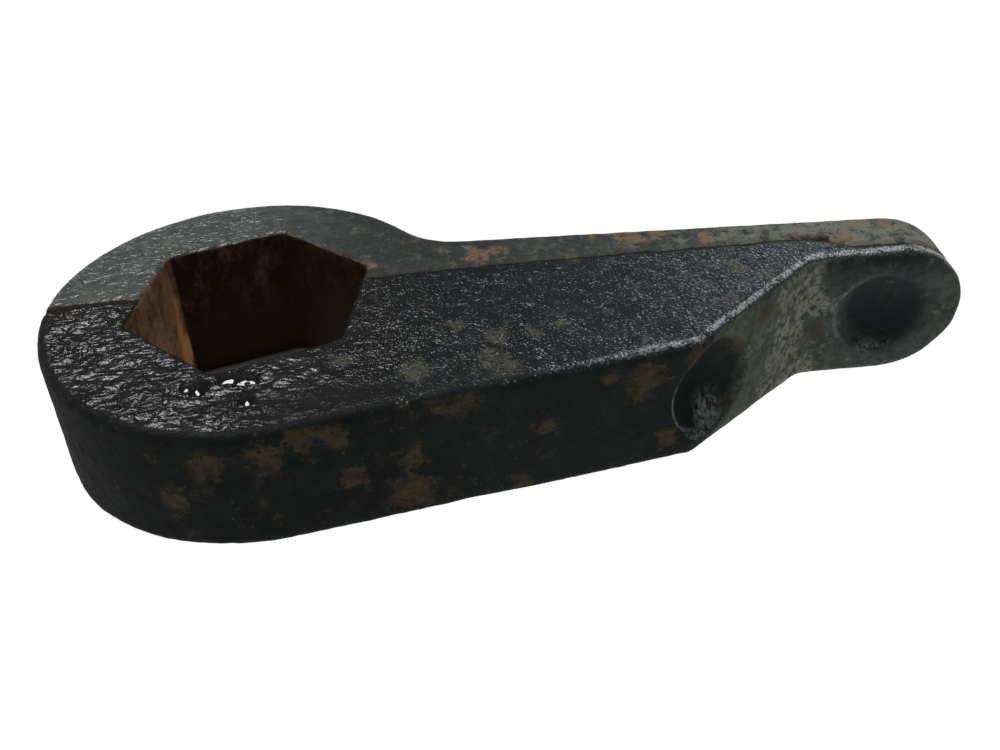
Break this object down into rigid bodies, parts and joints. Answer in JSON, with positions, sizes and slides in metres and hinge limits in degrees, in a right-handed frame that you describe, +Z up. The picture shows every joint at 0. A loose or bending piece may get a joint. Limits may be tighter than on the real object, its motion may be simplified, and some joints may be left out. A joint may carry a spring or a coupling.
{
  "type": "torsion bar adjusting arm",
  "caption": "Forged steel lever: a round hub with a through hexagon socket and a tapering arm that steps down to a thin round tip, with ball cups in the slope and the tip.",
  "frame": {"origin": "middle of the footprint, on the underside", "axes": "+X from the hub along the arm to the tip, +Y towards the side without the cups, +Z up along the socket's axis"},
  "size_m": [0.1632, 0.0696, 0.0272],
  "materials": {
    "forged_steel": "rough forged skin, oiled blue-black, with rust"
  },
  "bodies": {
    "root": {"forged_arm": "forged_steel"}
  },
  "joints": []
}
